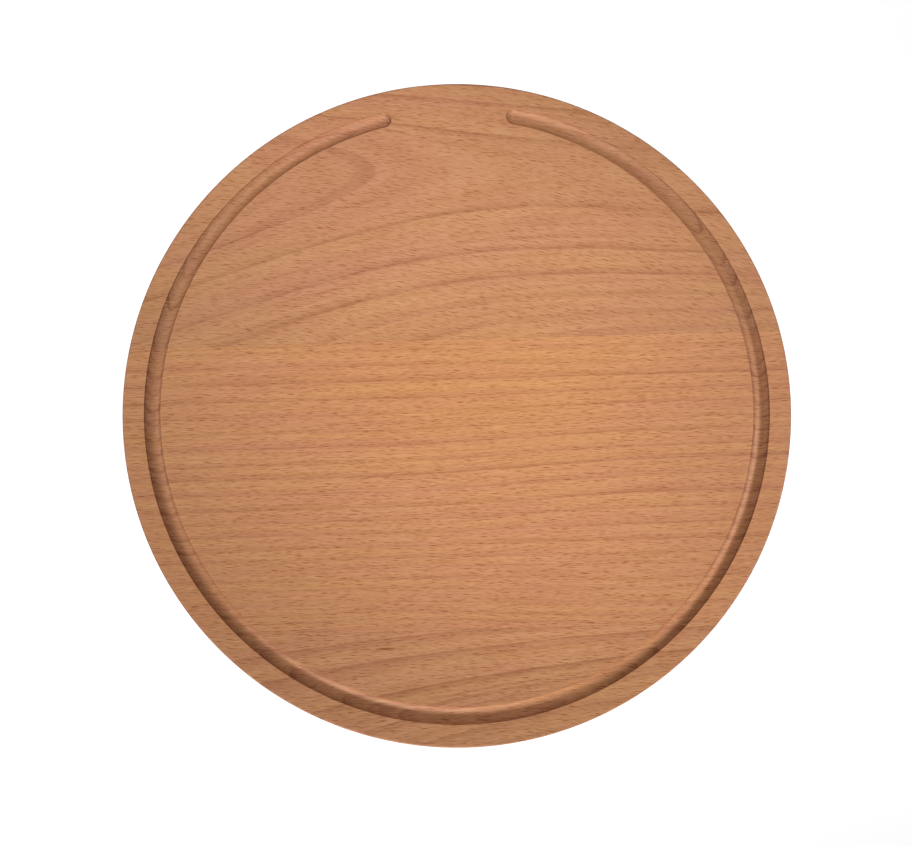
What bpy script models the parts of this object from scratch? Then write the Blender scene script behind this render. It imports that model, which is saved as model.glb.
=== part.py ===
"""Round pizza board: three beech staves glued edge to edge, turned to a disc with eased
edges, and routed with a juice groove that stops in a round end on each side of a gap.

Metres, +Z up. The board lies flat, with its origin at the centre of its underside. The
grain and the glue lines run along X, and the gap in the groove is at +Y.
"""

import math

import bmesh
import bpy
from mathutils import Matrix, Vector

# The disc
BOARD_DIAMETER = 0.340
BOARD_THICKNESS = 0.018
EDGE_ROUND = 0.001

# The staves. The outer two run on to the rim, so only the centre one shows its full width.
CENTRE_STAVE_WIDTH = 0.146
HEAD_GLUE_LINE_Y = 0.033
GLUE_LINE = 0.0003

# The juice groove, cut with a round-nosed bit. The land is the flat rim outside it, and the
# gap is the uncut wood between its two ends, tip to tip.
GROOVE_LAND = 0.011
GROOVE_DEPTH = 0.0026
BIT_RADIUS = 0.0045
LIP_EASE = 0.0003
GROOVE_GAP = 0.060

# Rough stock and cutters stand this far outside the finished board.
STOCK_ALLOWANCE = 0.003
CUTTER_CLEARANCE = 0.002

# Facets
RIM_FACETS = 192
EDGE_SEGMENTS = 3
NOSE_SEGMENTS = 6
LIP_SEGMENTS = 2
END_FACETS = 16

BOARD_RADIUS = BOARD_DIAMETER / 2
FOOT_GLUE_LINE_Y = HEAD_GLUE_LINE_Y - CENTRE_STAVE_WIDTH

# Weld distance of the groove cutter, and the angle above which an edge is a real corner
WELD = 0.000002
SHARP_ANGLE = math.radians(40)

# Oiled, steamed beech: base colour (linear) and roughness of each stave
STAVE_COLOURS = {
    "head_stave": (0.56, 0.29, 0.145),
    "centre_stave": (0.55, 0.27, 0.13),
    "foot_stave": (0.48, 0.235, 0.12),
}
BEECH_ROUGHNESS = 0.55


def clear_scene():
    for obj in list(bpy.data.objects):
        bpy.data.objects.remove(obj, do_unlink=True)


def new_collection(name):
    collection = bpy.data.collections.new(name)
    bpy.context.scene.collection.children.link(collection)
    return collection


def move_to(obj, collection):
    for old in list(obj.users_collection):
        old.objects.unlink(obj)
    collection.objects.link(obj)


def beech(name, colour):
    material = bpy.data.materials.new(name)
    material.use_nodes = True
    shader = material.node_tree.nodes["Principled BSDF"]
    shader.inputs["Base Color"].default_value = (*colour, 1.0)
    shader.inputs["Roughness"].default_value = BEECH_ROUGHNESS
    shader.inputs["Metallic"].default_value = 0.0
    return material


def as_cutter(obj, collection):
    """Smooth inside faces for what it cuts, and out of the render itself."""
    obj.data.shade_smooth()
    obj.data.set_sharp_from_angle(angle=SHARP_ANGLE)
    obj.display_type = "WIRE"
    obj.hide_render = True
    move_to(obj, collection)
    return obj


def turned_disc(collection):
    """The finished outside of the board: a cylinder whose two rims are rounded over."""
    bpy.ops.mesh.primitive_cylinder_add(
        vertices=RIM_FACETS,
        radius=BOARD_RADIUS,
        depth=BOARD_THICKNESS,
        end_fill_type="NGON",
        location=(0, 0, BOARD_THICKNESS / 2),
    )
    disc = bpy.context.object
    disc.name = "turned_disc"
    rounding = disc.modifiers.new("eased_edges", "BEVEL")
    rounding.width = min(EDGE_ROUND, 0.49 * BOARD_THICKNESS)
    rounding.segments = EDGE_SEGMENTS
    rounding.limit_method = "ANGLE"
    rounding.angle_limit = SHARP_ANGLE
    return as_cutter(disc, collection)


def lip_rise():
    """Height of the round nose's centre above the lip arc's centre. The two arcs touch
    where they turn over. A bit sunk past its nose has no rise, and leaves a straight wall."""
    return max(BIT_RADIUS + LIP_EASE - GROOVE_DEPTH, 0.0)


def lip_half_width():
    """From the middle of the groove to where its eased lip meets the top face."""
    return math.sqrt((BIT_RADIUS + LIP_EASE) ** 2 - lip_rise() ** 2)


def groove_radius():
    """Radius of the circle that the bit's axis follows."""
    return BOARD_RADIUS - GROOVE_LAND - lip_half_width()


def end_angle():
    """Angle from +Y to the bit's axis where the groove stops."""
    return math.asin((GROOVE_GAP / 2 + lip_half_width()) / groove_radius())


def bit_outline():
    """Half of the bit's outline as (distance from its axis, height).

    It starts at the tip and follows the round nose to the lip. There it turns outwards on
    the small arc that eases the lip, which ends flat on the top face. Its last facet is
    carried on a little, so that it crosses the face, and the outline then goes straight up
    and back to the axis. Points that fall together are welded later.
    """
    nose_height = BOARD_THICKNESS - GROOVE_DEPTH + BIT_RADIUS
    ease_height = BOARD_THICKNESS - LIP_EASE
    lip = lip_half_width()
    wall_angle = math.atan2(lip, lip_rise())
    points = []
    for step in range(NOSE_SEGMENTS + 1):
        angle = wall_angle * step / NOSE_SEGMENTS
        points.append(
            (BIT_RADIUS * math.sin(angle), nose_height - BIT_RADIUS * math.cos(angle))
        )
    for step in range(LIP_SEGMENTS + 1):
        angle = wall_angle * (1 - step / LIP_SEGMENTS)
        points.append(
            (lip - LIP_EASE * math.sin(angle), ease_height + LIP_EASE * math.cos(angle))
        )
    before, last = Vector(points[-2]), Vector(points[-1])
    points[-1] = tuple(last + (last - before) / 2)
    above = BOARD_THICKNESS + CUTTER_CLEARANCE
    return points + [(points[-1][0], above), (0.0, above)]


def add_outline(bm, points, turn, mirrored=False):
    """Adds the outline, stood on the groove's circle, turned about Z and joined by edges."""
    sides = [1, -1] if mirrored else [1]
    added = []
    for side in sides:
        verts = [
            bm.verts.new(turn @ Vector((groove_radius() + side * across, 0, height)))
            for across, height in points
        ]
        added += verts + [bm.edges.new(pair) for pair in zip(verts, verts[1:])]
    return added


def groove_cutter(collection):
    """The space that the bit sweeps: its whole outline spun round the board's axis, and at
    each stop its half outline spun half a turn about the bit's own axis."""
    points = bit_outline()
    start = math.pi / 2 + end_angle()
    sweep = 2 * math.pi - 2 * end_angle()
    up = Vector((0, 0, 1))
    bm = bmesh.new()
    first = Matrix.Rotation(start, 3, "Z")
    last = Matrix.Rotation(start + sweep, 3, "Z")
    bmesh.ops.spin(
        bm,
        geom=add_outline(bm, points, first, mirrored=True),
        cent=(0, 0, 0),
        axis=up,
        angle=sweep,
        steps=round(RIM_FACETS * sweep / (2 * math.pi)),
    )
    for turn, half_turn in ((first, -math.pi), (last, math.pi)):
        bmesh.ops.spin(
            bm,
            geom=add_outline(bm, points, turn),
            cent=turn @ Vector((groove_radius(), 0, 0)),
            axis=up,
            angle=half_turn,
            steps=END_FACETS,
        )
    bmesh.ops.remove_doubles(bm, verts=bm.verts, dist=WELD)
    bmesh.ops.recalc_face_normals(bm, faces=bm.faces)
    mesh = bpy.data.meshes.new("groove_cutter")
    bm.to_mesh(mesh)
    bm.free()
    cutter = bpy.data.objects.new("groove_cutter", mesh)
    bpy.context.scene.collection.objects.link(cutter)
    return as_cutter(cutter, collection)


def cut(obj, name, operation, cutter):
    boolean = obj.modifiers.new(name, "BOOLEAN")
    boolean.operation = operation
    boolean.object = cutter
    boolean.solver = "EXACT"


def stave(name, low_y, high_y, disc, groove, collection):
    """A plank of rough stock between two glue lines, turned with the board and grooved."""
    length = BOARD_DIAMETER + 2 * STOCK_ALLOWANCE
    thickness = BOARD_THICKNESS + 2 * STOCK_ALLOWANCE
    bpy.ops.mesh.primitive_cube_add(
        size=1, location=(0, (low_y + high_y) / 2, BOARD_THICKNESS / 2)
    )
    plank = bpy.context.object
    plank.name = name
    plank.data.name = name
    plank.data.transform(Matrix.Diagonal((length, high_y - low_y, thickness, 1)))
    plank.data.materials.append(beech(name, STAVE_COLOURS[name]))
    cut(plank, "turned_to_disc", "INTERSECT", disc)
    cut(plank, "juice_groove", "DIFFERENCE", groove)
    plank.modifiers.new("flat_faces_shade_flat", "WEIGHTED_NORMAL").keep_sharp = True
    move_to(plank, collection)
    return plank


def build():
    clear_scene()
    board = new_collection("pizza_board")
    cutters = new_collection("cutters")
    disc = turned_disc(cutters)
    groove = groove_cutter(cutters)
    outside = BOARD_RADIUS + STOCK_ALLOWANCE
    half_line = GLUE_LINE / 2
    staves = (
        ("head_stave", HEAD_GLUE_LINE_Y + half_line, outside),
        ("centre_stave", FOOT_GLUE_LINE_Y + half_line, HEAD_GLUE_LINE_Y - half_line),
        ("foot_stave", -outside, FOOT_GLUE_LINE_Y - half_line),
    )
    for name, low_y, high_y in staves:
        stave(name, low_y, high_y, disc, groove, board)


build()
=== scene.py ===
# %% [markdown]
# # A round pizza board in steamed beech
#
# The board is three planks, or staves, glued edge to edge. A lathe or router turns the panel to
# a disc, and a round-nosed bit cuts a juice groove that stops on each side of a gap. The packed
# model has these staves as faceted solids of the right size. Here each one gets a finer skin on
# the same lines, and the wood gets its growth rings, ray flecks and fibres.

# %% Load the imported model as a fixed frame
from math import acos, asin, atan2, ceil, cos, degrees, pi, radians, sin, sqrt

import bmesh
import bpy
import numpy as np
from mathutils import Matrix, Vector


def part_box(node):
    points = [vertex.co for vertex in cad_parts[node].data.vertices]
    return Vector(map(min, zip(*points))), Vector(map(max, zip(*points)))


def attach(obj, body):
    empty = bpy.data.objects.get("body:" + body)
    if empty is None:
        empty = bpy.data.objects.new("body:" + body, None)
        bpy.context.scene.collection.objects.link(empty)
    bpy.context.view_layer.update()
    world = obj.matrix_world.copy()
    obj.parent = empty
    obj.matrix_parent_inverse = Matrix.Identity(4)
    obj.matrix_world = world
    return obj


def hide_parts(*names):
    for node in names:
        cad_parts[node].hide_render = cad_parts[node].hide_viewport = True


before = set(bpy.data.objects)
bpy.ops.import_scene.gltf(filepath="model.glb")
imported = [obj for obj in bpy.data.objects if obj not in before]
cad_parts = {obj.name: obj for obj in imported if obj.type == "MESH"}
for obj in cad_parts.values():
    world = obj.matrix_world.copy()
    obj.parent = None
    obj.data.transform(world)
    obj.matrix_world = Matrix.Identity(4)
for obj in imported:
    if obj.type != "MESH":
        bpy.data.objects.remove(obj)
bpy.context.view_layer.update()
print("nodes in the packed model:", len(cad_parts))

# %% [markdown]
# ## Sizes
#
# A woodworker thinks in millimetres, so every shape and pattern below does too, and one factor
# turns it to metres when it reaches a mesh. The disc's radius and thickness come from the
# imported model. The groove's sizes are those of its bit: a 9 mm round nose, sunk 2.6 mm, and
# sandpaper has eased the lip by 0.3 mm.
#
# In section the nose is one arc and the eased lip another, and they touch without a corner. The
# height and the angle at which they touch give the groove's half width.

# %% The disc, the glue lines and the groove
MM = 0.001
centre_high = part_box("centre_stave")[1]
RADIUS = centre_high.x / MM
THICKNESS = centre_high.z / MM
EDGE_ROUND = 1.0

HEAD_LINE = 33.0
FOOT_LINE = -113.0
GLUE_FILM = 0.1

GROOVE_LAND = 11.0
GROOVE_DEPTH = 2.6
GROOVE_GAP = 60.0
BIT_NOSE = 4.5
LIP_EASE = 0.3

LIP_RISE = BIT_NOSE + LIP_EASE - GROOVE_DEPTH
HALF_GROOVE = sqrt((BIT_NOSE + LIP_EASE) ** 2 - LIP_RISE**2)
GROOVE_RADIUS = RADIUS - GROOVE_LAND - HALF_GROOVE
WALL_ANGLE = atan2(HALF_GROOVE, LIP_RISE)
STOP_ANGLE = asin((GROOVE_GAP / 2 + HALF_GROOVE) / GROOVE_RADIUS)
print(f"a disc {2 * RADIUS:.1f} mm across, {THICKNESS:.1f} mm thick")
print(f"a groove {2 * HALF_GROOVE:.2f} mm wide on a circle of {GROOVE_RADIUS:.2f} mm")

# %% [markdown]
# ## The groove as a formula
#
# A boolean cut would leave the groove as coarse as its cutter. The bit's tip follows one arc, so
# the depth at any point of the face depends only on how far that point is from the arc. Two
# short formulas give the distance and the depth, and they hold for the ball ends as well.

# %% Distance to the bit's path, and depth of cut
def groove_distance(x, y):
    """Distance from the arc that the bit's axis follows. Beside the arc it is the difference of
    two radii, and past its ends it is the straight line to the nearer end."""
    from_gap = np.abs(np.arctan2(x, y))
    beside = np.abs(np.hypot(x, y) - GROOVE_RADIUS)
    end_x, end_y = GROOVE_RADIUS * sin(STOP_ANGLE), GROOVE_RADIUS * cos(STOP_ANGLE)
    past_end = np.hypot(np.abs(x) - end_x, y - end_y)
    return np.where(from_gap >= STOP_ANGLE, beside, past_end)


def groove_depth(distance):
    """Depth below the face: a circle of the bit's radius round the axis, and outside it the
    small circle that eases the lip. The two circles touch at the wall angle."""
    nose = GROOVE_DEPTH - BIT_NOSE + np.sqrt(np.clip(BIT_NOSE**2 - distance**2, 0, None))
    from_lip = np.clip(HALF_GROOVE - distance, 0, LIP_EASE)
    ease = LIP_EASE - np.sqrt(LIP_EASE**2 - from_lip**2)
    depth = np.where(distance < BIT_NOSE * sin(WALL_ANGLE), nose, ease)
    return np.where(distance < HALF_GROOVE, depth, 0.0)


probe = np.array([0.0, 2.0, 4.0, 4.2, 5.0])
print("depth at", probe, "mm from the path:", groove_depth(probe).round(3), "mm")

# %% [markdown]
# ## A stave as two sheets over one polar grid
#
# The rows of the grid are circles about the board's centre, because the rim and the groove are
# circles. The columns spread between the stave's two glue lines. The top sheet dips where the
# groove runs, the lower sheet is flat, and both roll over at the rim. Walls close the sides.
#
# Rows cost triangles, so they stand wide apart on the flat wood and close only where the
# surface curves: about 0.3 mm apart in the groove, and closer on the lip and the rim.

# %% Rows of the grid
FLAT_ROWS, NOSE_ROWS, EASE_ROWS, LAND_ROWS, RIM_ROWS = 24, 33, 6, 5, 8
# Flat wood that is left between the even rows and the groove, and beside each lip and the rim
FLAT_MARGIN, LIP_MARGIN, RIM_MARGIN = 1.5, 0.4, 0.3
# Where a glue line comes nearest to the centre it leaves a row's circle fast, so rows follow at
# these distances, unless the groove is nearer than the last number
OPENING_ROWS, OPENING_ROOM = np.array([0, 0.05, 0.2, 0.5, 1, 2, 4]), 5.0
# Lengths that differ by less than this count as the same
TOLERANCE = 1e-6


def row_radii(low, high):
    """Radii of the rows of the stave between two glue lines, from its point nearest to the
    centre to the rim. On an arc the rows are at even angles, so a radius is a sine."""
    lip = GROOVE_RADIUS - HALF_GROOVE
    first, last = max(0.0, low, -high), lip - FLAT_MARGIN
    corners = np.array([abs(v) for v in (low, high) if first <= abs(v) < last - OPENING_ROOM])
    opening_out = (corners[:, None] + OPENING_ROWS).ravel()
    flat = np.union1d(np.linspace(first, last, FLAT_ROWS), opening_out)
    flat = flat[np.insert(np.diff(flat) > TOLERANCE, 0, True)]
    nose = BIT_NOSE * np.sin(np.linspace(-WALL_ANGLE, WALL_ANGLE, NOSE_ROWS))
    ease = HALF_GROOVE - LIP_EASE * np.sin(np.linspace(WALL_ANGLE, 0, EASE_ROWS)[1:])
    across = np.concatenate([-ease[::-1], nose, ease])
    land_start = GROOVE_RADIUS + HALF_GROOVE + LIP_MARGIN
    land = np.linspace(land_start, RADIUS - EDGE_ROUND - RIM_MARGIN, LAND_ROWS)
    rim = RADIUS - EDGE_ROUND + EDGE_ROUND * np.sin(np.linspace(0, pi / 2, RIM_ROWS))
    return np.concatenate([flat, [lip - LIP_MARGIN], GROOVE_RADIUS + across, land, rim])


print("rows of the centre stave:", len(row_radii(FOOT_LINE, HEAD_LINE)))

# %% [markdown]
# ## Columns, and the ball ends
#
# A column keeps its angle inside the groove, so that the groove's facets are even. Near a ball
# end the columns draw together, and the groove's rows draw together as the groove narrows. Its
# outline is then a line of the grid and stays crisp.

# %% Columns of the grid
COLUMN_STEP = 1.4
# Angle before the ball in which the columns draw together, and columns before, on and past it
DRAW_TOGETHER = 0.06
BEFORE_BALL, ON_BALL, PAST_BALL = 18, 20, 24
SPREADING = 1.6
NARROWEST_STAVE = 1.0


def column_angles(low, high):
    """Angles of the columns on the groove's circle, from the low glue line to the high one. On
    the ball they are at the sines of even angles, and past it they spread by a power. What is
    narrower than the narrowest stave is a glue film, which needs no columns inside it."""
    start = asin(max(low / GROOVE_RADIUS, -1))
    stop = asin(min(high / GROOVE_RADIUS, 1))
    if high - low < NARROWEST_STAVE:
        return np.array([start, stop])
    count = round((stop - start) * GROOVE_RADIUS / COLUMN_STEP)
    ball = pi / 2 - STOP_ANGLE
    if not start < ball < stop:
        return np.linspace(start, stop, count)
    tip = ball + HALF_GROOVE / GROOVE_RADIUS
    parts = [
        np.linspace(start, ball - DRAW_TOGETHER, count),
        np.linspace(ball - DRAW_TOGETHER, ball, BEFORE_BALL)[1:],
        ball + (tip - ball) * np.sin(np.linspace(0, pi / 2, ON_BALL))[1:],
        tip + (stop - tip) * np.linspace(0, 1, PAST_BALL)[1:] ** SPREADING,
    ]
    return np.concatenate(parts)


print("columns of the centre stave, to one side:", len(column_angles(FOOT_LINE, HEAD_LINE)))

# %% The grid of one half of a stave
# From this radius on, and over this many mm, the power below rises from 1 by this much
HOLD_FROM, HOLD_OVER, HOLD_POWER = 147, 3, 3


def half_grid(low, high):
    """x and y of the grid on the side where x is positive, and the radii of its rows.

    On a row of radius r the glue lines are at the angles arcsin(low / r) and arcsin(high / r).
    Each column takes its share of the difference to the angles on the groove's circle. Near the
    groove that share is raised to a power, which holds all but the outer columns still. The way
    past the ball's start, as a fraction p of the ball, narrows the groove by sqrt(1 - p^2), and
    past its tip the rows open again over two more lengths."""
    radii = row_radii(low, high)[:, None]
    angles = column_angles(low, high)[None, :]
    share = (angles - angles[0, 0]) / (angles[0, -1] - angles[0, 0])
    safe = np.maximum(radii, TOLERANCE)
    low_shift = np.arcsin(np.clip(low / safe, -1, 1)) - angles[0, 0]
    high_shift = np.arcsin(np.clip(high / safe, -1, 1)) - angles[0, -1]
    hold = 1 + HOLD_POWER * np.clip((radii - HOLD_FROM) / HOLD_OVER, 0, 1)
    theta = angles + low_shift * (1 - share) ** hold + high_shift * share**hold

    past_ball = (theta - (pi / 2 - STOP_ANGLE)) * GROOVE_RADIUS / HALF_GROOVE
    narrowed = np.sqrt(np.clip(1 - np.clip(past_ball, 0, 1) ** 2, 0, 1))
    widened = np.clip((past_ball - 1) / 2, 0, 1)
    scale = np.where(past_ball < 1, narrowed, widened)
    across = radii - GROOVE_RADIUS
    in_groove = np.abs(across) <= HALF_GROOVE + TOLERANCE
    r = np.where(in_groove, GROOVE_RADIUS + across * scale, radii)
    return r * np.cos(theta), r * np.sin(theta), radii[:, 0]


print("corners in half of the centre stave's top:", half_grid(FOOT_LINE, HEAD_LINE)[0].size)

# %% [markdown]
# ## From grids to a closed mesh
#
# Whole arrays of corners and faces go into the mesh at once. The two halves meet at x = 0 and
# share their corners there after a merge, which also closes the pole at the board's centre.

# %% Faces between the rows and columns
def quads(index):
    """Faces between neighbouring rows and columns of a grid of corner numbers."""
    return np.stack(
        [index[:-1, :-1], index[1:, :-1], index[1:, 1:], index[:-1, 1:]], axis=-1
    ).reshape(-1, 4)


def triangles(index, x, y):
    """Each cell of a sheet, cut by the diagonal that leaves the larger smallest triangle. Where
    the rows are strongly slanted, the other diagonal would fold the cell over itself."""
    a, b, c, d = quads(np.arange(x.size).reshape(x.shape)).T
    px, py = x.ravel(), y.ravel()

    def area(p, q, r):
        return (px[q] - px[p]) * (py[r] - py[p]) - (px[r] - px[p]) * (py[q] - py[p])

    by_ac = np.minimum(area(a, b, c), area(a, c, d)) > np.minimum(area(a, b, d), area(b, c, d))
    one = np.where(by_ac, [a, b, c], [a, b, d])
    other = np.where(by_ac, [a, c, d], [b, c, d])
    return index.ravel()[np.concatenate([one, other], axis=1).T]


print("faces of a grid of 3 by 3 corners:", quads(np.arange(9).reshape(3, 3)).tolist())

# %% The mesh of a piece
MERGE_DISTANCE = 1e-7
SHARP_ANGLE = radians(40)
print(f"corners within {MERGE_DISTANCE / MM:.4f} mm of each other become one")


def mesh_piece(name, points, faces):
    """A piece at the origin from points in millimetres, with doubles merged and faces outward."""
    mesh = bpy.data.meshes.new(name)
    mesh.from_pydata((points * MM).tolist(), [], [f for part in faces for f in part.tolist()])
    bm = bmesh.new()
    bm.from_mesh(mesh)
    bmesh.ops.remove_doubles(bm, verts=bm.verts, dist=MERGE_DISTANCE)
    bmesh.ops.dissolve_degenerate(bm, edges=bm.edges, dist=MERGE_DISTANCE)
    bmesh.ops.recalc_face_normals(bm, faces=bm.faces)
    open_edges = sum(not edge.is_manifold for edge in bm.edges)
    bm.to_mesh(mesh)
    bm.free()
    mesh.shade_smooth()
    mesh.set_sharp_from_angle(angle=SHARP_ANGLE)
    piece = bpy.data.objects.new(name, mesh)
    bpy.context.scene.collection.objects.link(piece)
    count = sum(len(face.vertices) - 2 for face in mesh.polygons)
    print(f"{name}: {count} triangles, {open_edges} open edges")
    return piece


def stave(name, low, high):
    """The part of the board between two planes of y. Top height is the board's thickness less
    the groove's depth and less the rim's roll, R - sqrt(R^2 - s^2) at s inside the round."""
    x, y, radii = half_grid(low, high)
    roll_in = np.clip(np.hypot(x, y) - (RADIUS - EDGE_ROUND), 0, EDGE_ROUND)
    roll = EDGE_ROUND - np.sqrt(EDGE_ROUND**2 - roll_in**2)
    top = THICKNESS - groove_depth(groove_distance(x, y)) - roll
    points, faces = [], []
    for side in (1, -1):
        index = x.size * len(points) + np.arange(x.size).reshape(x.shape)
        over, under = index, index + x.size
        points += [np.stack([side * x, y, z], -1).reshape(-1, 3) for z in (top, roll)]
        faces += [triangles(over, x, y), triangles(under, x, y)]
        faces.append(quads(np.stack([over[-1], under[-1]])))
        for column, line in ((0, low), (-1, high)):
            rows = radii >= abs(line) - TOLERANCE
            if rows.sum() > 1 and abs(line) < RADIUS:
                faces.append(quads(np.stack([over[rows, column], under[rows, column]])))
    return mesh_piece(name, np.concatenate(points), faces)


# %% [markdown]
# ## The three staves and the two glue lines
#
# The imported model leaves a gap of 0.3 mm at each glue line. On the real board the joint is a
# hairline of cured wood glue, which shows only as a slightly darker line. The staves here run
# to the film's faces, and the film is a piece of its own with the same section, groove and all.

# %% Make the pieces
half_film = GLUE_FILM / 2
PAST_RIM = RADIUS + 1
LIMITS = {
    "head_stave": (HEAD_LINE + half_film, PAST_RIM),
    "centre_stave": (FOOT_LINE + half_film, HEAD_LINE - half_film),
    "foot_stave": (-PAST_RIM, FOOT_LINE - half_film),
}
staves = {}
for node, (low, high) in LIMITS.items():
    piece = stave(f"{node}_beech", low, high)
    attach(piece, "root")
    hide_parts(node)
    staves[node] = piece

films = {}
for node, line in (("head_stave", HEAD_LINE), ("foot_stave", FOOT_LINE)):
    film = stave(f"{node}_glue_line", line - half_film, line + half_film)
    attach(film, "root")
    films[node] = film

for piece in [*staves.values(), *films.values()]:
    weighted = piece.modifiers.new("flat_faces_shade_flat", "WEIGHTED_NORMAL")
    weighted.keep_sharp = True

# %% [markdown]
# ## Two helpers for materials
#
# Colours are written as the sRGB hex values that a colour picker shows. Blender's shaders work
# in linear light, so one function turns them. A second one adds a node, sets its properties and
# fills its sockets, each with a plain value or with the output of another node.

# %% Colours and nodes
def linear(hex_colour):
    """sRGB hex to linear RGBA, by the standard's curve: a straight foot, then a power of 2.4."""
    srgb = np.array([int(hex_colour[i : i + 2], 16) for i in (1, 3, 5)]) / 255
    light = np.where(srgb <= 0.04045, srgb / 12.92, ((srgb + 0.055) / 1.055) ** 2.4)
    return (*light.tolist(), 1.0)


def add(tree, kind, inputs=None, **settings):
    """Adds a node. A value that is a node stands for its first output."""
    made = tree.nodes.new(kind)
    for key, value in settings.items():
        setattr(made, key, value)
    for key, value in (inputs or {}).items():
        if isinstance(value, bpy.types.Node):
            value = value.outputs[0]
        if isinstance(value, bpy.types.NodeSocket):
            tree.links.new(value, made.inputs[key])
        else:
            made.inputs[key].default_value = value
    return made


print("steamed beech, mid tone:", [round(c, 3) for c in linear("#C88D64")[:3]])

# %% [markdown]
# ## How the wood is worked out
#
# Wood is a solid pattern that the maker's tools cut through, so its colour is worked out from
# the place of each point inside the plank, not painted on the face. The same rings then turn
# up on the face, down in the groove, on the rim and underneath.
#
# A growth ring is a long tube round the tree's pith. Where the face cuts the tubes at a slant,
# they show as arches, and where it cuts them nearly square, as straight lines. With v the
# distance across the plank from the pith's line, and h the pith's depth below the point, the
# radius of the ring through the point is the root of v squared plus h squared. The pith's line
# bends along the plank, and the tree tapers, and a few coefficients say how.

# %% How each plank was sawn
# below: depth of the pith under the face, in mm
# pith: across-plank place of the pith's line, in mm, by powers of x in units of 100 mm
# slant: how the fibres run across the plank, in mm, by the same powers
# taper: what the ring radius squared gains along the plank, in 1000 mm2, by the same powers
# flare: how the scale across the plank changes along it; skew: how it differs by side
# turn: the plank was sawn a little across the grain, so y gains the first number per 100 mm of
#     x, and its scale grows by the second
# swell: height in mm by which the rings bulge towards the end where x is positive
EVEN_TREE = dict(taper=(0.0,), flare=(1.0,), skew=0.0, turn=(0.0, 0.0), swell=0.0)
GROWTH = {
    "head_stave": EVEN_TREE | dict(
        below=90.0,
        pith=(123.2, -3.086, -4.884, 0.543, -0.036),
        slant=(0.0, -17.0, -4.2),
        taper=(0.0, 0.5554, -0.4469, -0.0022, 0.0863),
        flare=(1.0, 0.1373, 0.0379),
        skew=0.454,
    ),
    "centre_stave": EVEN_TREE | dict(
        below=62.0, pith=(56.0,), slant=(0.0, -1.5, 0.0), swell=5.0
    ),
    "foot_stave": EVEN_TREE | dict(
        below=60.0, pith=(-190.0,), slant=(0.0, -3.0, 0.0), turn=(34.0, 0.35)
    ),
}
for node, growth in GROWTH.items():
    print(f"{node}: the pith lay {growth['below']:.0f} mm under the face, at y = "
          f"{growth['pith'][0]:.0f} mm at the middle of the board")

# %% The rings of each plank
# Each ring as its distance from the pith's line on the face at the plank's middle, in mm, how
# dark its latewood is in percent, and how many mm it takes to darken. A ring with a distance
# below 0 stays under the face there, and shows only where the tree was thicker.
RINGS = {
    "head_stave": [
        (-17.1, 22, 6.0), (22.6, 20, 4.0), (41.0, 18, 3.2), (51.5, 20, 2.8), (60.3, 11, 2.5),
        (67.3, 13, 2.5), (74.6, 10, 2.5), (82.0, 12, 3.0), (90.0, 10, 3.0),
    ],
    "centre_stave": [
        (25.0, 8, 1.5), (27.6, 5, 2.0), (35.2, 11, 3.0), (43.3, 17, 4.0), (52.4, 13, 3.5),
        (60.5, 12, 3.0), (65.9, 4, 2.0), (69.1, 11, 2.0), (76.6, 15, 3.0), (85.0, 11, 3.0),
        (91.8, 17, 3.5), (99.5, 9, 3.0), (107.5, 15, 3.5), (114.0, 10, 3.0), (120.5, 11, 3.0),
        (127.1, 14, 3.0), (132.9, 11, 2.5), (137.1, 7, 2.0), (142.9, 11, 2.5), (147.9, 6, 2.5),
        (154.5, 7, 4.0), (159.6, 8, 2.5), (163.6, 9, 2.0), (168.0, 7, 2.0),
    ],
    "foot_stave": [
        (18.0, 15, 5.0), (28.0, 18, 5.0), (40.5, 15, 4.0), (44.8, 15, 3.0), (47.0, 8, 1.5),
        (53.1, 28, 8.0), (67.5, 23, 6.5), (76.3, 20, 5.0), (79.5, 9, 2.0), (88.0, 16, 5.0),
    ],
}


def ring_edge(growth, distance):
    """Radius of a ring from its distance on the face: the root of distance squared, with the
    distance's own sign, plus the pith's depth squared."""
    return sqrt(distance * abs(distance) + growth["below"] ** 2)


for node, rings in RINGS.items():
    edges = [ring_edge(GROWTH[node], distance) for distance, _, _ in rings]
    print(node, "ring radii in mm:", np.round(edges, 1))

# %% [markdown]
# ## Coordinates inside the plank
#
# Every pattern reads the same few numbers: the point's x, y and depth in millimetres, the place
# along the plank, and the place across the fibres. Each plank's noises start from another place,
# so that no two planks look alike.

# %% Two functions of the place
print("powers in the bend of the head stave's pith:", len(GROWTH["head_stave"]["pith"]) - 1)


def polynomial(tree, at, coefficients):
    """Sum of coefficient times a rising power of at, by Horner's rule."""
    total = coefficients[-1]
    for coefficient in coefficients[-2::-1]:
        total = add(
            tree, "ShaderNodeMath", {0: total, 1: at, 2: coefficient}, operation="MULTIPLY_ADD"
        )
    return total


def wander(tree, place, stretch, height):
    """A slow noise of the given height in mm, as long and wide as stretch says in mm."""
    scaled = add(
        tree,
        "ShaderNodeVectorMath",
        {0: place, 1: tuple(1 / s for s in stretch)},
        operation="MULTIPLY",
    )
    noise = add(tree, "ShaderNodeTexNoise", {"Vector": scaled, "Scale": 1.0, "Detail": 1.0})
    return add(
        tree,
        "ShaderNodeMath",
        {0: noise, 1: height, 2: -height / 2},
        operation="MULTIPLY_ADD",
    )


# %% Numbers that the patterns share
ALONG_UNIT = 100.0
# Fibres sway a little round the rays, so their lines wave by this much over these lengths, in mm
FIBRE_SWAY, SWAY_HEIGHT = (9.0, 3.0, 9.0), 1.6


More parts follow.
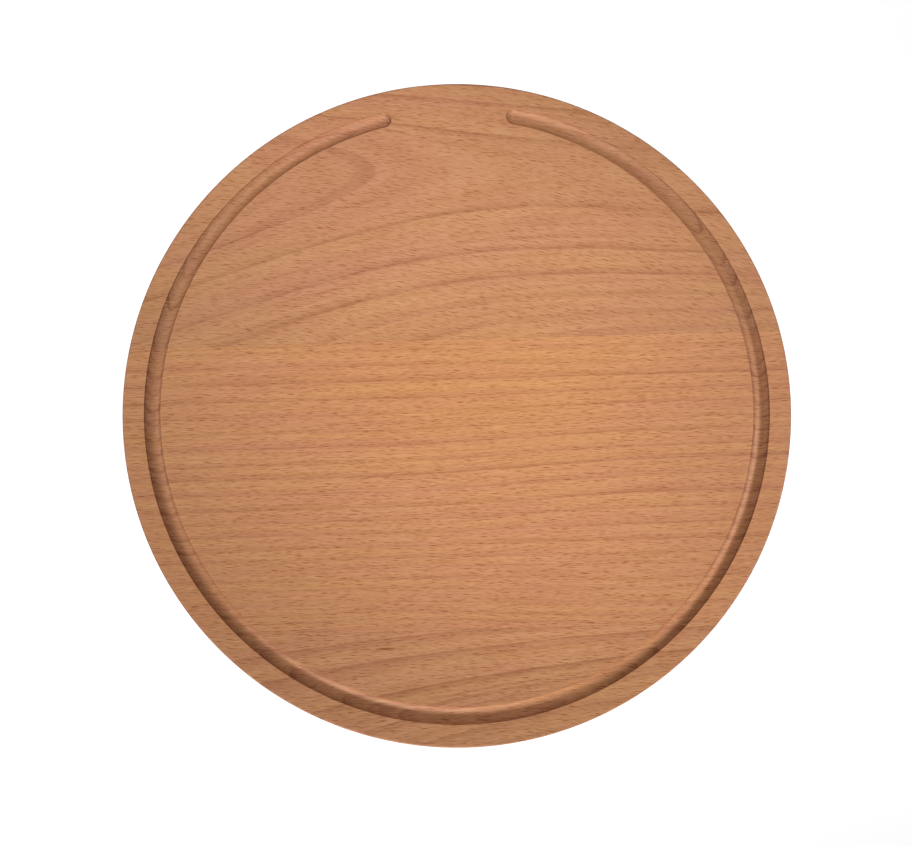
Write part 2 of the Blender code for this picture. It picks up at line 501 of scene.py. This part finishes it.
def plank_coordinates(tree, growth, seed):
    """x, y and depth in mm, u along the plank in units of 100 mm, place, which is the point in
    mm moved along by the seed, and fibre, which is y less the curve that the fibres follow."""
    metres = add(tree, "ShaderNodeTexCoord").outputs["Object"]
    in_mm = add(tree, "ShaderNodeVectorMath", {0: metres, "Scale": 1 / MM}, operation="SCALE")
    xyz = add(tree, "ShaderNodeSeparateXYZ", {0: in_mm})
    x, y = xyz.outputs["X"], xyz.outputs["Y"]
    depth = add(
        tree, "ShaderNodeMath", {0: THICKNESS, 1: xyz.outputs["Z"]}, operation="SUBTRACT"
    )
    u = add(tree, "ShaderNodeMath", {0: x, 1: 1 / ALONG_UNIT}, operation="MULTIPLY")
    place = add(tree, "ShaderNodeVectorMath", {0: in_mm, 1: (seed, 0, 0)}, operation="ADD")
    slanted = polynomial(tree, u, growth["slant"])
    straight = add(tree, "ShaderNodeMath", {0: y, 1: slanted}, operation="SUBTRACT")
    sway = wander(tree, place, FIBRE_SWAY, SWAY_HEIGHT)
    fibre = add(tree, "ShaderNodeMath", {0: straight, 1: sway}, operation="ADD")
    return dict(x=x, y=y, depth=depth, u=u, place=place, fibre=fibre)


print(f"the fibres sway by up to {SWAY_HEIGHT / 2:.1f} mm each way")

# %% [markdown]
# ## The ring that a point lies in
#
# The formula above, with what a real tree adds. The trunk tapers and bends, it may swell
# along the plank, and two slow noises bend every ring a little, because no tree is a perfect
# cone.

# %% The swelling
# Middle of the bulge across the plank and its width, and where along the plank it grows, in mm
SWELL_AT, SWELL_SPAN = -30.0, 160.0
SWELL_FROM, SWELL_TO = -40.0, 100.0


def swelling(tree, growth, at):
    """Lift of the rings in mm: a cosine across the plank, times a smooth step along it."""
    across = add(
        tree,
        "ShaderNodeMath",
        {0: at["y"], 1: 2 * pi / SWELL_SPAN, 2: -2 * pi * SWELL_AT / SWELL_SPAN},
        operation="MULTIPLY_ADD",
    )
    wave = add(tree, "ShaderNodeMath", {0: across}, operation="COSINE")
    along = add(
        tree,
        "ShaderNodeMapRange",
        {
            "Value": at["x"],
            "From Min": SWELL_FROM,
            "From Max": SWELL_TO,
            "To Max": growth["swell"],
        },
        interpolation_type="SMOOTHSTEP",
    )
    return add(tree, "ShaderNodeMath", {0: wave, 1: along}, operation="MULTIPLY")


print("the centre stave's rings bulge by", GROWTH["centre_stave"]["swell"], "mm")

# %% The ring radius
TAPER_UNIT = 1000.0
# Length, width, depth and height in mm of the two slow noises that bend the rings
RING_BENDS = (((70, 22, 22), 1.2), ((22, 6, 6), 0.6))


def ring_at(tree, growth, at):
    """Ring radius at the point: sqrt(v^2 * flare + skew * v^3 / 100 + taper + (below - depth)^2).
    v is y, turned, lifted and bent, less the place of the pith's line."""
    rise, opening = growth["turn"]
    lift = swelling(tree, growth, at)
    y = add(tree, "ShaderNodeMath", {0: at["y"], 1: lift}, operation="SUBTRACT")
    slope = polynomial(tree, at["u"], (1.0, opening))
    y = add(tree, "ShaderNodeMath", {0: y, 1: slope}, operation="MULTIPLY")
    y = add(tree, "ShaderNodeMath", {0: at["u"], 1: rise, 2: y}, operation="MULTIPLY_ADD")
    for stretch, height in RING_BENDS:
        bend = wander(tree, at["place"], stretch, height)
        y = add(tree, "ShaderNodeMath", {0: y, 1: bend}, operation="ADD")
    pith = polynomial(tree, at["u"], growth["pith"])
    v = add(tree, "ShaderNodeMath", {0: y, 1: pith}, operation="SUBTRACT")
    v2 = add(tree, "ShaderNodeMath", {0: v, 1: v}, operation="MULTIPLY")
    flare = polynomial(tree, at["u"], growth["flare"])
    taper = polynomial(tree, at["u"], growth["taper"])
    taper = add(tree, "ShaderNodeMath", {0: taper, 1: TAPER_UNIT}, operation="MULTIPLY")
    total = add(
        tree, "ShaderNodeMath", {0: v2, 1: flare, 2: taper}, operation="MULTIPLY_ADD"
    )
    v3 = add(tree, "ShaderNodeMath", {0: v2, 1: v}, operation="MULTIPLY")
    skew = growth["skew"] / ALONG_UNIT
    total = add(tree, "ShaderNodeMath", {0: v3, 1: skew, 2: total}, operation="MULTIPLY_ADD")
    down = add(
        tree, "ShaderNodeMath", {0: growth["below"], 1: at["depth"]}, operation="SUBTRACT"
    )
    total = add(tree, "ShaderNodeMath", {0: down, 1: down, 2: total}, operation="MULTIPLY_ADD")
    total = add(tree, "ShaderNodeMath", {0: total, 1: 1.0}, operation="MAXIMUM")
    return add(tree, "ShaderNodeMath", {0: total}, operation="SQRT")


bend = sum(height for _, height in RING_BENDS) / 2
print(f"the rings bend by up to {bend:.1f} mm each way")

# %% [markdown]
# ## Latewood
#
# Within a ring, beech darkens slowly towards the end of the season, and the next spring starts
# pale at once. So each ring is a saw tooth: a slope 1.5 to 8 mm long, its darkest line in the
# last millimetre, and a step. A colour ramp holds up to 32 stops, enough for seven rings, and a
# plank with more rings takes more ramps, each of which is 0 outside its own rings.

# %% Darkness of the rings as ramps over the ring radius
# Percent at which the tint of the latewood is laid on fully
FULL_DARK = 30.0
RINGS_PER_RAMP = 7
# mm by which a ramp starts before the first ring's edge and stops after the last one's
RAMP_LEAD, RAMP_TAIL = 5, 1
# The tooth's end: mm before the ring's edge, and the share of its darkness there
TOOTH_END = ((0.9, 0.65), (0.2, 1.1), (-0.5, 0.0))
# Stops have to stand in order along the ramp, so each is at least this far past the last
STOP_STEP = 1e-4


def tooth_stops(growth, rings):
    """Stops over the ring radius for each ring: 0 at the start of its slope, then the tooth's
    end. A length on the face is distance / radius times as long in ring radius."""
    stops = []
    for distance, percent, slope in rings:
        edge = ring_edge(growth, distance)
        shrink = abs(distance) / edge
        dark = percent / FULL_DARK
        for before, share in ((slope, 0.0), *TOOTH_END):
            stops.append((edge - before * shrink, share * dark))
    return stops


def latewood(tree, growth, rings, radius):
    """Sum of the ramps: 0 in spring wood, and the ring's percent over FULL_DARK at its end."""
    total = None
    for start in range(0, len(rings), RINGS_PER_RAMP):
        part = rings[start : start + RINGS_PER_RAMP]
        low = ring_edge(growth, part[0][0]) - RAMP_LEAD
        high = ring_edge(growth, part[-1][0]) + RAMP_TAIL
        stops = [(0.0, 0.0)]
        for place, value in tooth_stops(growth, part):
            position = max((place - low) / (high - low), stops[-1][0] + STOP_STEP)
            stops.append((position, value))
        span = add(
            tree,
            "ShaderNodeMapRange",
            {"Value": radius, "From Min": low, "From Max": high},
        )
        ramp = add(tree, "ShaderNodeValToRGB", {0: span})
        elements = ramp.color_ramp.elements
        while len(elements) < len(stops):
            elements.new(1.0)
        for element, (position, value) in zip(elements, stops):
            element.position = position
            element.color = (value, value, value, 1.0)
        total = ramp if total is None else add(
            tree, "ShaderNodeMath", {0: total, 1: ramp}, operation="ADD"
        )
    return total


for node, rings in RINGS.items():
    print(node, "has", len(rings), "rings in", ceil(len(rings) / RINGS_PER_RAMP), "ramps")

# %% [markdown]
# ## Ray flecks
#
# Rays are thin ribbons of cells that run outwards from the pith. On a flat-sawn face their ends
# show as dark spindles 2 to 4 mm long and a third of a millimetre wide, and they are what makes
# beech look like beech. A Voronoi texture scatters one point to a cell, and says where it is.
# From there the distance is measured again in the spindle's own length and width, so that the
# spindles can be much slimmer than their cells. Each has its own depth of colour, and each row
# of cells is shifted along by another amount, so that no lattice shows.

# %% Spindles round scattered points
# Cells and half sizes of the large and of the small spindles, both (along, across) in mm. A
# spindle fades from its core to its rim, so the part that shows is shorter than the whole.
LARGE_FLECKS = ((6.0, 1.25), (3.1, 0.24))
SMALL_FLECKS = ((4.2, 0.85), (2.2, 0.17))
FLECK_CORE = 0.2
FLECK_SPREAD = 1.4


def flecks(tree, at, cell, half_size):
    """0 to 1, from 1 in the core to 0 on an ellipse of half_size round the point. The strength
    of each spindle is a random number per cell, raised to a power: many faint, few strong."""
    across = add(tree, "ShaderNodeMath", {0: at["fibre"], 1: 1 / cell[1]}, operation="MULTIPLY")
    row = add(tree, "ShaderNodeMath", {0: across}, operation="FLOOR")
    shift = add(tree, "ShaderNodeTexWhiteNoise", {"W": row}, noise_dimensions="1D")
    along = add(
        tree,
        "ShaderNodeMath",
        {0: at["x"], 1: 1 / cell[0], 2: shift.outputs["Value"]},
        operation="MULTIPLY_ADD",
    )
    vector = add(tree, "ShaderNodeCombineXYZ", {0: along, 1: across})
    cells = add(
        tree, "ShaderNodeTexVoronoi", {"Vector": vector, "Scale": 1.0}, voronoi_dimensions="2D"
    )
    offset = add(
        tree,
        "ShaderNodeVectorMath",
        {0: vector, 1: cells.outputs["Position"]},
        operation="SUBTRACT",
    )
    in_spindle = add(
        tree,
        "ShaderNodeVectorMath",
        {0: offset, 1: (cell[0] / half_size[0], cell[1] / half_size[1], 0.0)},
        operation="MULTIPLY",
    )
    reach = add(tree, "ShaderNodeVectorMath", {0: in_spindle}, operation="LENGTH")
    inside = add(
        tree,
        "ShaderNodeMapRange",
        {"Value": reach.outputs["Value"], "From Min": 1.0, "From Max": FLECK_CORE},
    )
    chance = add(tree, "ShaderNodeSeparateColor", {0: cells.outputs["Color"]})
    strength = add(tree, "ShaderNodeMath", {0: chance, 1: FLECK_SPREAD}, operation="POWER")
    return add(tree, "ShaderNodeMath", {0: inside, 1: strength}, operation="MULTIPLY")


for name, (cell, half_size) in (("large", LARGE_FLECKS), ("small", SMALL_FLECKS)):
    print(f"{name} flecks: {100 / (cell[0] * cell[1]):.0f} in a square centimetre,",
          f"{2 * half_size[0]:.1f} by {2 * half_size[1]:.2f} mm")

# %% [markdown]
# ## Streaks along the grain
#
# Between the flecks the wood is finely streaked along its fibres. More slowly, it drifts
# between a pinkish and a yellowish tone, in bands that follow the rings. Both are noises in
# stretched space. Real fibres are about 0.02 mm wide, too fine to show at this distance, so
# they are drawn as bundles of 8 mm by 0.45 mm.

# %% Stretched noises
# Length and width in mm, and then the two noise levels between which each one comes up
TONE_BANDS, TONE_LEVELS = (120, 5), (0.35, 0.65)
RING_PATCHES, PATCH_LEVELS = (30, 6), (0.3, 0.7)
FAINT_LINES, FAINT_LEVELS = (60, 0.9), (0.42, 0.75)
FIBRE_BUNDLES, FIBRE_LEVELS = (8.0, 0.45), (0.3, 0.75)
STREAK_DEPTH = 6
STREAK_DETAIL, STREAK_ROUGHNESS = 2.0, 0.6


def streaks(tree, at, across, size):
    """Noise from 0 to 1 in streaks of a length and width in mm, and six widths deep. across is
    the number that they are narrow in: the place across the fibres, or the ring radius."""
    length, width = size
    scales = ((at["x"], length), (across, width), (at["depth"], STREAK_DEPTH * width))
    parts = [
        add(tree, "ShaderNodeMath", {0: value, 1: 1 / scale}, operation="MULTIPLY")
        for value, scale in scales
    ]
    vector = add(tree, "ShaderNodeCombineXYZ", dict(enumerate(parts)))
    return add(
        tree,
        "ShaderNodeTexNoise",
        {
            "Vector": vector,
            "Scale": 1.0,
            "Detail": STREAK_DETAIL,
            "Roughness": STREAK_ROUGHNESS,
        },
    )


print("bundles of fibres to a centimetre:", round(10 / FIBRE_BUNDLES[1]))

# %% [markdown]
# ## Tone, and two places that differ
#
# Steaming turns pale beech to a warm salmon brown, a little different in each plank. Round the
# middle of the board the wood is slightly more golden, which is partly painted light: it stands
# in part for the stronger light on the middle of the board. In the foot stave is one small dark
# mark, a fault in the wood.

# %% The tone of each plank
TONES = {
    "head_stave": ("#CE9470", "#D19B6E"),
    "centre_stave": ("#D69870", "#D99F6E"),
    "foot_stave": ("#D69A73", "#DAA172"),
}


def plank_tone(tree, node, at, radius):
    """The palest colour of the plank, which drifts between its two tones from band to band."""
    noise = streaks(tree, at, radius, TONE_BANDS)
    low, high = TONE_LEVELS
    drift = add(
        tree, "ShaderNodeMapRange", {"Value": noise, "From Min": low, "From Max": high}
    )
    pinkish, yellowish = (linear(tone) for tone in TONES[node])
    return add(
        tree, "ShaderNodeMix", {"Factor": drift, 6: pinkish, 7: yellowish}, data_type="RGBA"
    ).outputs[2]


print("tones of the centre stave:", *TONES["centre_stave"])

# %% Places with a centre
# Centre and half axes in mm, and the shares of the half axes between which each one fades
# The golden middle is partly painted light, for the stronger light on the middle of the board
GOLDEN_AND_LIT_MIDDLE = ((0.0, 10.0), (130.0, 65.0), (0.2, 1.0))
SMALL_MARK = ((-38.8, -121.2), (7.0, 0.7), (0.3, 1.0))


def round_place(tree, at, spot, interpolation):
    """1 at the centre of an ellipse and 0 at its rim. The distance is measured in half axes."""
    centre, half_axes, (core, rim) = spot
    point = add(tree, "ShaderNodeCombineXYZ", {0: at["x"], 1: at["y"]})
    offset = add(
        tree, "ShaderNodeVectorMath", {0: point, 1: (*centre, 0.0)}, operation="SUBTRACT"
    )
    share = add(
        tree,
        "ShaderNodeVectorMath",
        {0: offset, 1: (1 / half_axes[0], 1 / half_axes[1], 0.0)},
        operation="MULTIPLY",
    )
    distance = add(tree, "ShaderNodeVectorMath", {0: share}, operation="LENGTH")
    return add(
        tree,
        "ShaderNodeMapRange",
        {"Value": distance.outputs["Value"], "From Min": rim, "From Max": core},
        interpolation_type=interpolation,
    )


print("the small mark is", 2 * SMALL_MARK[1][0], "by", 2 * SMALL_MARK[1][1], "mm")

# %% [markdown]
# ## What the cut does to the wood, and painted shade
#
# End grain is full of open pores and drinks more oil than the faces. So surfaces that cut
# across the fibres, as the groove's walls and the rim do at the left and right, are darker, and
# speckled with pores. Every edge that was cut and sanded round is darker just under the face: on
# end grain for the oil it takes, and where it is steep as painted shade along the lips and the
# rim. Deeper in the groove the wood is darkened a little, as painted shade in the hollow.
# Rays show as spindles only on the wide faces, because on the rim they are cut another way.

# %% How a surface lies to the fibres
# How far the surface's normal points along the fibres where end grain begins and is full
END_GRAIN_LEVELS = (0.1, 0.95)
# How level the surface is where the flecks begin and are full, and what is left of them below
FACE_LEVELS, FLECKS_ON_RIM = (0.05, 0.45), 0.15
# Upward part of the normal where an edge begins to be steep and is fully so, and the painted
# shade it takes there
STEEP_LEVELS, STEEP_EDGE_SHADE = (0.98, 0.7), 0.5
# Depths below the face, in mm, over which the edge's oil and painted shade fade, and the groove's
# painted shade comes up
EDGE_DEPTHS, GROOVE_SHADE_DEPTHS = (0.15, 0.8), (0.3, 1.3)
# Real pores are 0.05 mm wide, so they are drawn in clusters of this size in mm
PORE_CLUSTER, PORE_LEVELS = 0.8, (0.42, 0.75)


def surface_kinds(tree, at):
    """Shares from 0 to 1: end_grain by the normal's part along the fibres, on_faces by how level
    the surface is, edge_oil_and_shade just under the face, which is oil where it is end grain and
    painted shade where it is steep, painted_shade_below_face with depth, which is painted shade
    in the groove, and pores as a fine noise on end grain."""
    normal = add(tree, "ShaderNodeNewGeometry").outputs["Normal"]
    facing = add(tree, "ShaderNodeSeparateXYZ", {0: normal})
    along = add(tree, "ShaderNodeMath", {0: facing.outputs["X"]}, operation="ABSOLUTE")
    level = add(tree, "ShaderNodeMath", {0: facing.outputs["Z"]}, operation="ABSOLUTE")
    fine = add(
        tree,
        "ShaderNodeVectorMath",
        {0: at["place"], "Scale": 1 / PORE_CLUSTER},
        operation="SCALE",
    )
    grain = add(tree, "ShaderNodeTexNoise", {"Vector": fine, "Scale": 1.0, "Detail": 1.0})
    kinds = {}
    for kind, value, (start, end), (out_start, out_end) in (
        ("end_grain", along, END_GRAIN_LEVELS, (0.0, 1.0)),
        ("on_faces", level, FACE_LEVELS, (FLECKS_ON_RIM, 1.0)),
        ("steep", facing.outputs["Z"], STEEP_LEVELS, (0.0, STEEP_EDGE_SHADE)),
        ("near_edge", at["depth"], EDGE_DEPTHS, (1.0, 0.0)),
        # painted shade that comes up with depth in the groove
        ("painted_shade_below_face", at["depth"], GROOVE_SHADE_DEPTHS, (0.0, 1.0)),
        ("pores", grain, PORE_LEVELS, (0.0, 1.0)),
    ):
        kinds[kind] = add(
            tree,
            "ShaderNodeMapRange",
            {
                "Value": value,
                "From Min": start,
                "From Max": end,
                "To Min": out_start,
                "To Max": out_end,
            },
        )
    # Just under the face an edge darkens for oil where it is end grain, and as painted shade
    # along the lips and the rim where it is steep
    oil_and_shade = add(
        tree, "ShaderNodeMath", {0: kinds["steep"], 1: kinds["end_grain"]}, operation="MAXIMUM"
    )
    kinds["edge_oil_and_shade"] = add(
        tree, "ShaderNodeMath", {0: kinds["near_edge"], 1: oil_and_shade}, operation="MULTIPLY"
    )
    kinds["pores"] = add(
        tree, "ShaderNodeMath", {0: kinds["pores"], 1: kinds["end_grain"]}, operation="MULTIPLY"
    )
    return kinds


print(f"end grain starts {degrees(asin(END_GRAIN_LEVELS[0])):.0f} degrees from the fibres")

# %% [markdown]
# ## The figure of the wood
#
# All that is darker than the plain tone comes together here: the latewood, stronger and weaker
# in patches as in real planks and nearly three times as strong on end grain, faint lines
# between the rings, the bundles of fibres, and the flecks of two sizes.

# %% Rings, lines, fibres and flecks
PATCH_STRENGTHS = (0.55, 1.45)
END_GRAIN_RINGS = 1.8
FAINT_STRENGTH = 0.4
FIBRE_STRENGTH = 0.6
SMALL_FLECK_STRENGTH = 0.9


def wood_figure(tree, node, at, radius, kinds):
    """Amounts from 0 to 1 of rings, faint lines, fibres, small flecks and large flecks."""
    growth = GROWTH[node]
    amounts = {}
    for name, across, size, (low, high), (least, most) in (
        ("patches", radius, RING_PATCHES, PATCH_LEVELS, PATCH_STRENGTHS),
        ("faint", radius, FAINT_LINES, FAINT_LEVELS, (0.0, FAINT_STRENGTH)),
        ("fibres", at["fibre"], FIBRE_BUNDLES, FIBRE_LEVELS, (0.0, FIBRE_STRENGTH)),
    ):
        amounts[name] = add(
            tree,
            "ShaderNodeMapRange",
            {
                "Value": streaks(tree, at, across, size),
                "From Min": low,
                "From Max": high,
                "To Min": least,
                "To Max": most,
            },
        )
    on_ends = add(
        tree,
        "ShaderNodeMath",
        {0: kinds["end_grain"], 1: END_GRAIN_RINGS, 2: 1.0},
        operation="MULTIPLY_ADD",
    )
    rings = latewood(tree, growth, RINGS[node], radius)
    rings = add(
        tree, "ShaderNodeMath", {0: rings, 1: amounts["patches"]}, operation="MULTIPLY"
    )
    amounts["rings"] = add(tree, "ShaderNodeMath", {0: rings, 1: on_ends}, operation="MULTIPLY")
    for name, (cell, half_size), strength in (
        ("large_flecks", LARGE_FLECKS, 1.0),
        ("small_flecks", SMALL_FLECKS, SMALL_FLECK_STRENGTH),
    ):
        spindles = flecks(tree, at, cell, half_size)
        spindles = add(
            tree, "ShaderNodeMath", {0: spindles, 1: kinds["on_faces"]}, operation="MULTIPLY"
        )
        amounts[name] = add(
            tree, "ShaderNodeMath", {0: spindles, 1: strength}, operation="MULTIPLY"
        )
    return amounts


print("latewood is up to", 1 + END_GRAIN_RINGS, "times as strong on end grain")

# %% [markdown]
# ## Steamed beech, sanded and oiled
#
# Sanding leaves the wood even, and a thin coat of oil leaves a low, broad sheen and no film.
# The colour starts as the plank's palest tone, and each layer multiplies it, as pigments do,
# by a tint that is laid on by its amount. A tint is the colour that white wood would take. Three
# layers are painted light in whole or part: the golden middle in part, the edges in part, where
# they are steep, and the darkening deep in the groove.
# Flecks and fibres are also sunk by a hair, which breaks up the sheen.

# %% Tints and finish
TINTS = {
    # Partly painted light: a more golden tone where the middle of the board is lit more strongly
    "golden_tone_and_light": "#FFFEF2",
    "rings": "#DCCBC5",
    "faint": "#DCC49C",
    "fibres": "#DCC49C",
    "small_flecks": "#C08C1C",
    "large_flecks": "#C08C1C",
    "mark": "#C0987C",
    "end_grain": "#D9D7DA",
    "pores": "#C9B0A0",
    # Oil on end grain, and painted shade on steep edges, just under the face
    "edge_oil_and_shade": "#C4A28C",
    # Painted shade deep in the groove
    "painted_shade_below_face": "#F7F5F3",
}
WOOD_IOR = 1.45
SHEEN_ROUGHNESS, SHEEN_CHANGE = 0.52, 0.05
RELIEF_HEIGHT, RELIEF_STRENGTH = 0.03, 0.08
print(len(TINTS), "tints, and a roughness of", SHEEN_ROUGHNESS, "give or take", SHEEN_CHANGE)

# %% The wood material
def steamed_beech(node, seed):
    """Named for the real finish. To the eye: warm salmon brown, soft darker rings, short dark
    flecks all over, and a dull sheen."""
    material = bpy.data.materials.new(f"steamed_beech_oiled_{node}")
    material.use_nodes = True
    tree = material.node_tree
    shader = tree.nodes["Principled BSDF"]
    at = plank_coordinates(tree, GROWTH[node], seed)
    radius = ring_at(tree, GROWTH[node], at)
    kinds = surface_kinds(tree, at)
    amounts = kinds | wood_figure(tree, node, at, radius, kinds)
    # A golden tone in the middle, partly painted light for the stronger light there
    amounts["golden_tone_and_light"] = round_place(tree, at, GOLDEN_AND_LIT_MIDDLE, "SMOOTHSTEP")
    amounts["mark"] = round_place(tree, at, SMALL_MARK, "LINEAR")

    colour = plank_tone(tree, node, at, radius)
    for layer, tint in TINTS.items():
        colour = add(
            tree,
            "ShaderNodeMix",
            {"Factor": amounts[layer], 6: colour, 7: linear(tint)},
            data_type="RGBA",
            blend_type="MULTIPLY",
        ).outputs[2]
    tree.links.new(colour, shader.inputs["Base Color"])

    rough, smooth = SHEEN_ROUGHNESS + SHEEN_CHANGE, SHEEN_ROUGHNESS - SHEEN_CHANGE
    dull = add(
        tree,
        "ShaderNodeMapRange",
        {"Value": amounts["fibres"], "To Min": rough, "To Max": smooth},
    )
    tree.links.new(dull.outputs[0], shader.inputs["Roughness"])
    relief = add(
        tree,
        "ShaderNodeMath",
        {0: amounts["large_flecks"], 1: amounts["fibres"]},
        operation="ADD",
    )
    bump = add(
        tree,
        "ShaderNodeBump",
        {"Strength": RELIEF_STRENGTH, "Distance": RELIEF_HEIGHT * MM, "Height": relief},
        invert=True,
    )
    tree.links.new(bump.outputs[0], shader.inputs["Normal"])
    shader.inputs["IOR"].default_value = WOOD_IOR
    shader.inputs["Metallic"].default_value = 0.0
    return material


SEED_STEP = 400.0
for number, (node, piece) in enumerate(staves.items()):
    piece.data.materials.append(steamed_beech(node, SEED_STEP * number))
    print(piece.name, "has", piece.data.materials[0].name)

# %% [markdown]
# ## Cured wood glue
#
# White wood glue cures to a clear, hard film. This one is a tenth of a millimetre wide, has
# taken up the brown of the oil, and is speckled by the fibres torn into it. To the eye it is a
# thin line, a little darker and smoother than the wood.

# %% The glue material
GLUE_TONES = ("#8A5C3E", "#A5714E")
SPECKLES_PER_METRE = 900.0
GLUE_ROUGHNESS = 0.5

cured_glue = bpy.data.materials.new("cured_wood_glue")
cured_glue.use_nodes = True
tree = cured_glue.node_tree
shader = tree.nodes["Principled BSDF"]
place = add(tree, "ShaderNodeTexCoord").outputs["Object"]
speckle = add(
    tree, "ShaderNodeTexNoise", {"Vector": place, "Scale": SPECKLES_PER_METRE, "Detail": 1.0}
)
dark, light = (linear(tone) for tone in GLUE_TONES)
tone = add(tree, "ShaderNodeMix", {"Factor": speckle, 6: dark, 7: light}, data_type="RGBA")
tree.links.new(tone.outputs[2], shader.inputs["Base Color"])
shader.inputs["Roughness"].default_value = GLUE_ROUGHNESS
for film in films.values():
    film.data.materials.append(cured_glue)
print(f"the glue's speckles are {1 / (SPECKLES_PER_METRE * MM):.1f} mm wide")

# %% [markdown]
# ## A white table to stand on
#
# The board lies on a plain pale surface. It is diffuse, so it keeps the board's soft shadow.
# Its own colour is a mid grey, so that it throws little light up at the board, and what the
# camera sees of it is lifted towards white by a light of its own that only straight, mirrored
# and transmitted rays find.

# %% The floor
FLOOR_SIZE = 8000.0
FLOOR_CORNERS = 9
FLOOR_BELOW = 0.05

steps = np.linspace(-FLOOR_SIZE / 2, FLOOR_SIZE / 2, FLOOR_CORNERS)
floor_x, floor_y = np.meshgrid(steps, steps, indexing="ij")
floor_z = np.full_like(floor_x, -FLOOR_BELOW)
floor_points = np.stack([floor_x, floor_y, floor_z], -1).reshape(-1, 3)
floor_index = np.arange(FLOOR_CORNERS**2).reshape(FLOOR_CORNERS, FLOOR_CORNERS)
floor_mesh = bpy.data.meshes.new("floor")
floor_mesh.from_pydata((floor_points * MM).tolist(), [], quads(floor_index).tolist())
floor = bpy.data.objects.new("floor", floor_mesh)
bpy.context.scene.collection.objects.link(floor)
print("the floor is", FLOOR_SIZE / 1000, "m wide and", FLOOR_BELOW, "mm below the board")

# %% The floor's material
TABLE_GREY, TABLE_ROUGHNESS = "#A0A0A0", 0.9
TABLE_LIFT = 0.87

white_table = bpy.data.materials.new("matt_white_table")
white_table.use_nodes = True
tree = white_table.node_tree
shader = tree.nodes["Principled BSDF"]
path = add(tree, "ShaderNodeLightPath")
seen = path.outputs["Is Camera Ray"]
for ray in ("Is Glossy Ray", "Is Transmission Ray"):
    seen = add(tree, "ShaderNodeMath", {0: seen, 1: path.outputs[ray]}, operation="MAXIMUM")
lift = add(tree, "ShaderNodeMath", {0: seen, 1: TABLE_LIFT}, operation="MULTIPLY")
tree.links.new(lift.outputs[0], shader.inputs["Emission Strength"])
shader.inputs["Emission Color"].default_value = linear("#FFFFFF")
shader.inputs["Base Color"].default_value = linear(TABLE_GREY)
shader.inputs["Roughness"].default_value = TABLE_ROUGHNESS
floor.data.materials.append(white_table)
print("light of the table's own:", TABLE_LIFT)

# %% [markdown]
# ## Soft studio light
#
# Five soft boxes light the board: one overhead, and four low ones in front of it and at its
# sides, which draw the groove. Each has a grid, as in a studio, that keeps its light on the
# board. Blender calls the grid's opening angle the spread. The world adds an even fill, and is
# white where the camera sees it.

# %% Lamps
# name: (place in mm, aim in mm, spread in degrees, power in watts)
LAMPS = {
    "front": ((-73.0, -721.0, 315.0), (59.0, 38.0, THICKNESS), 35.5, 0.231),
    "front_left": ((-387.0, -622.0, 294.0), (-79.0, -120.0, THICKNESS), 20.0, 0.092),
    "right": ((672.0, -108.0, 314.0), (214.0, -25.0, THICKNESS), 17.4, 0.219),
    "left": ((-590.0, 16.0, 262.0), (-184.0, -18.0, THICKNESS), 45.0, 0.137),
    "over": ((0.0, 0.0, 788.0), (-113.0, 258.0, THICKNESS), 43.0, 0.280),
}
SOFT_BOX = 300.0


def lamp(name, place, aim, spread, power):
    """A square soft box that looks from its place to its aim."""
    light = bpy.data.lights.new(name, "AREA")
    light.shape = "SQUARE"
    light.size = SOFT_BOX * MM
    light.spread = radians(spread)
    light.energy = power
    obj = bpy.data.objects.new(name, light)
    obj.location = Vector(place) * MM
    obj.rotation_euler = (Vector(aim) - Vector(place)).to_track_quat("-Z", "Y").to_euler()
    obj.visible_camera = False
    bpy.context.scene.collection.objects.link(obj)


for name, settings in LAMPS.items():
    lamp(f"lamp_{name}", *settings)
print("light from the lamps in watts:", round(sum(power for *_, power in LAMPS.values()), 3))

# %% The world
FILL = 0.178

world = bpy.data.worlds.new("studio")
bpy.context.scene.world = world
world.use_nodes = True
tree = world.node_tree
background = tree.nodes["Background"]
path = add(tree, "ShaderNodeLightPath")
seen = add(
    tree,
    "ShaderNodeMath",
    {0: path.outputs["Is Camera Ray"], 1: path.outputs["Is Transmission Ray"]},
    operation="MAXIMUM",
)
strength = add(tree, "ShaderNodeMapRange", {"Value": seen, "To Min": FILL, "To Max": 1.0})
tree.links.new(strength.outputs[0], background.inputs["Strength"])
background.inputs["Color"].default_value = linear("#FFFFFF")
print("fill light:", FILL)

# %% [markdown]
# ## The camera
#
# The photograph was taken from half a metre above the board, leaning about six degrees, and
# the board lies turned by under two degrees in the picture. The camera's axes are worked out
# from those angles.

# %% Camera
AIM = Vector((-0.652, -9.911, THICKNESS)) * MM
DISTANCE = 500.0 * MM
LEAN_X, LEAN_Y = -0.0066, -0.10823
TURN = 0.029915
FOCAL_PIXELS, IMAGE_WIDTH = 986.48, 913
SENSOR = 36.0
NEAREST = 0.01

back = Vector((sin(LEAN_X), sin(LEAN_Y), 0))
back.z = sqrt(1 - back.length_squared)
right = Vector((0, 1, 0)).cross(back).normalized()
up = back.cross(right)
turned_right = cos(TURN) * right - sin(TURN) * up
turned_up = sin(TURN) * right + cos(TURN) * up
axes = Matrix((turned_right, turned_up, back)).transposed()

camera = bpy.data.objects.new("camera", bpy.data.cameras.new("camera"))
camera.data.sensor_width = SENSOR
camera.data.lens = SENSOR * FOCAL_PIXELS / IMAGE_WIDTH
camera.data.clip_start = NEAREST
camera.matrix_world = Matrix.Translation(AIM + DISTANCE * back) @ axes.to_4x4()
bpy.context.scene.collection.objects.link(camera)
bpy.context.scene.camera = camera
bpy.context.scene.view_settings.view_transform = "Standard"
print(f"lens {camera.data.lens:.2f} mm, {degrees(acos(back.z)):.1f} degrees from straight above")
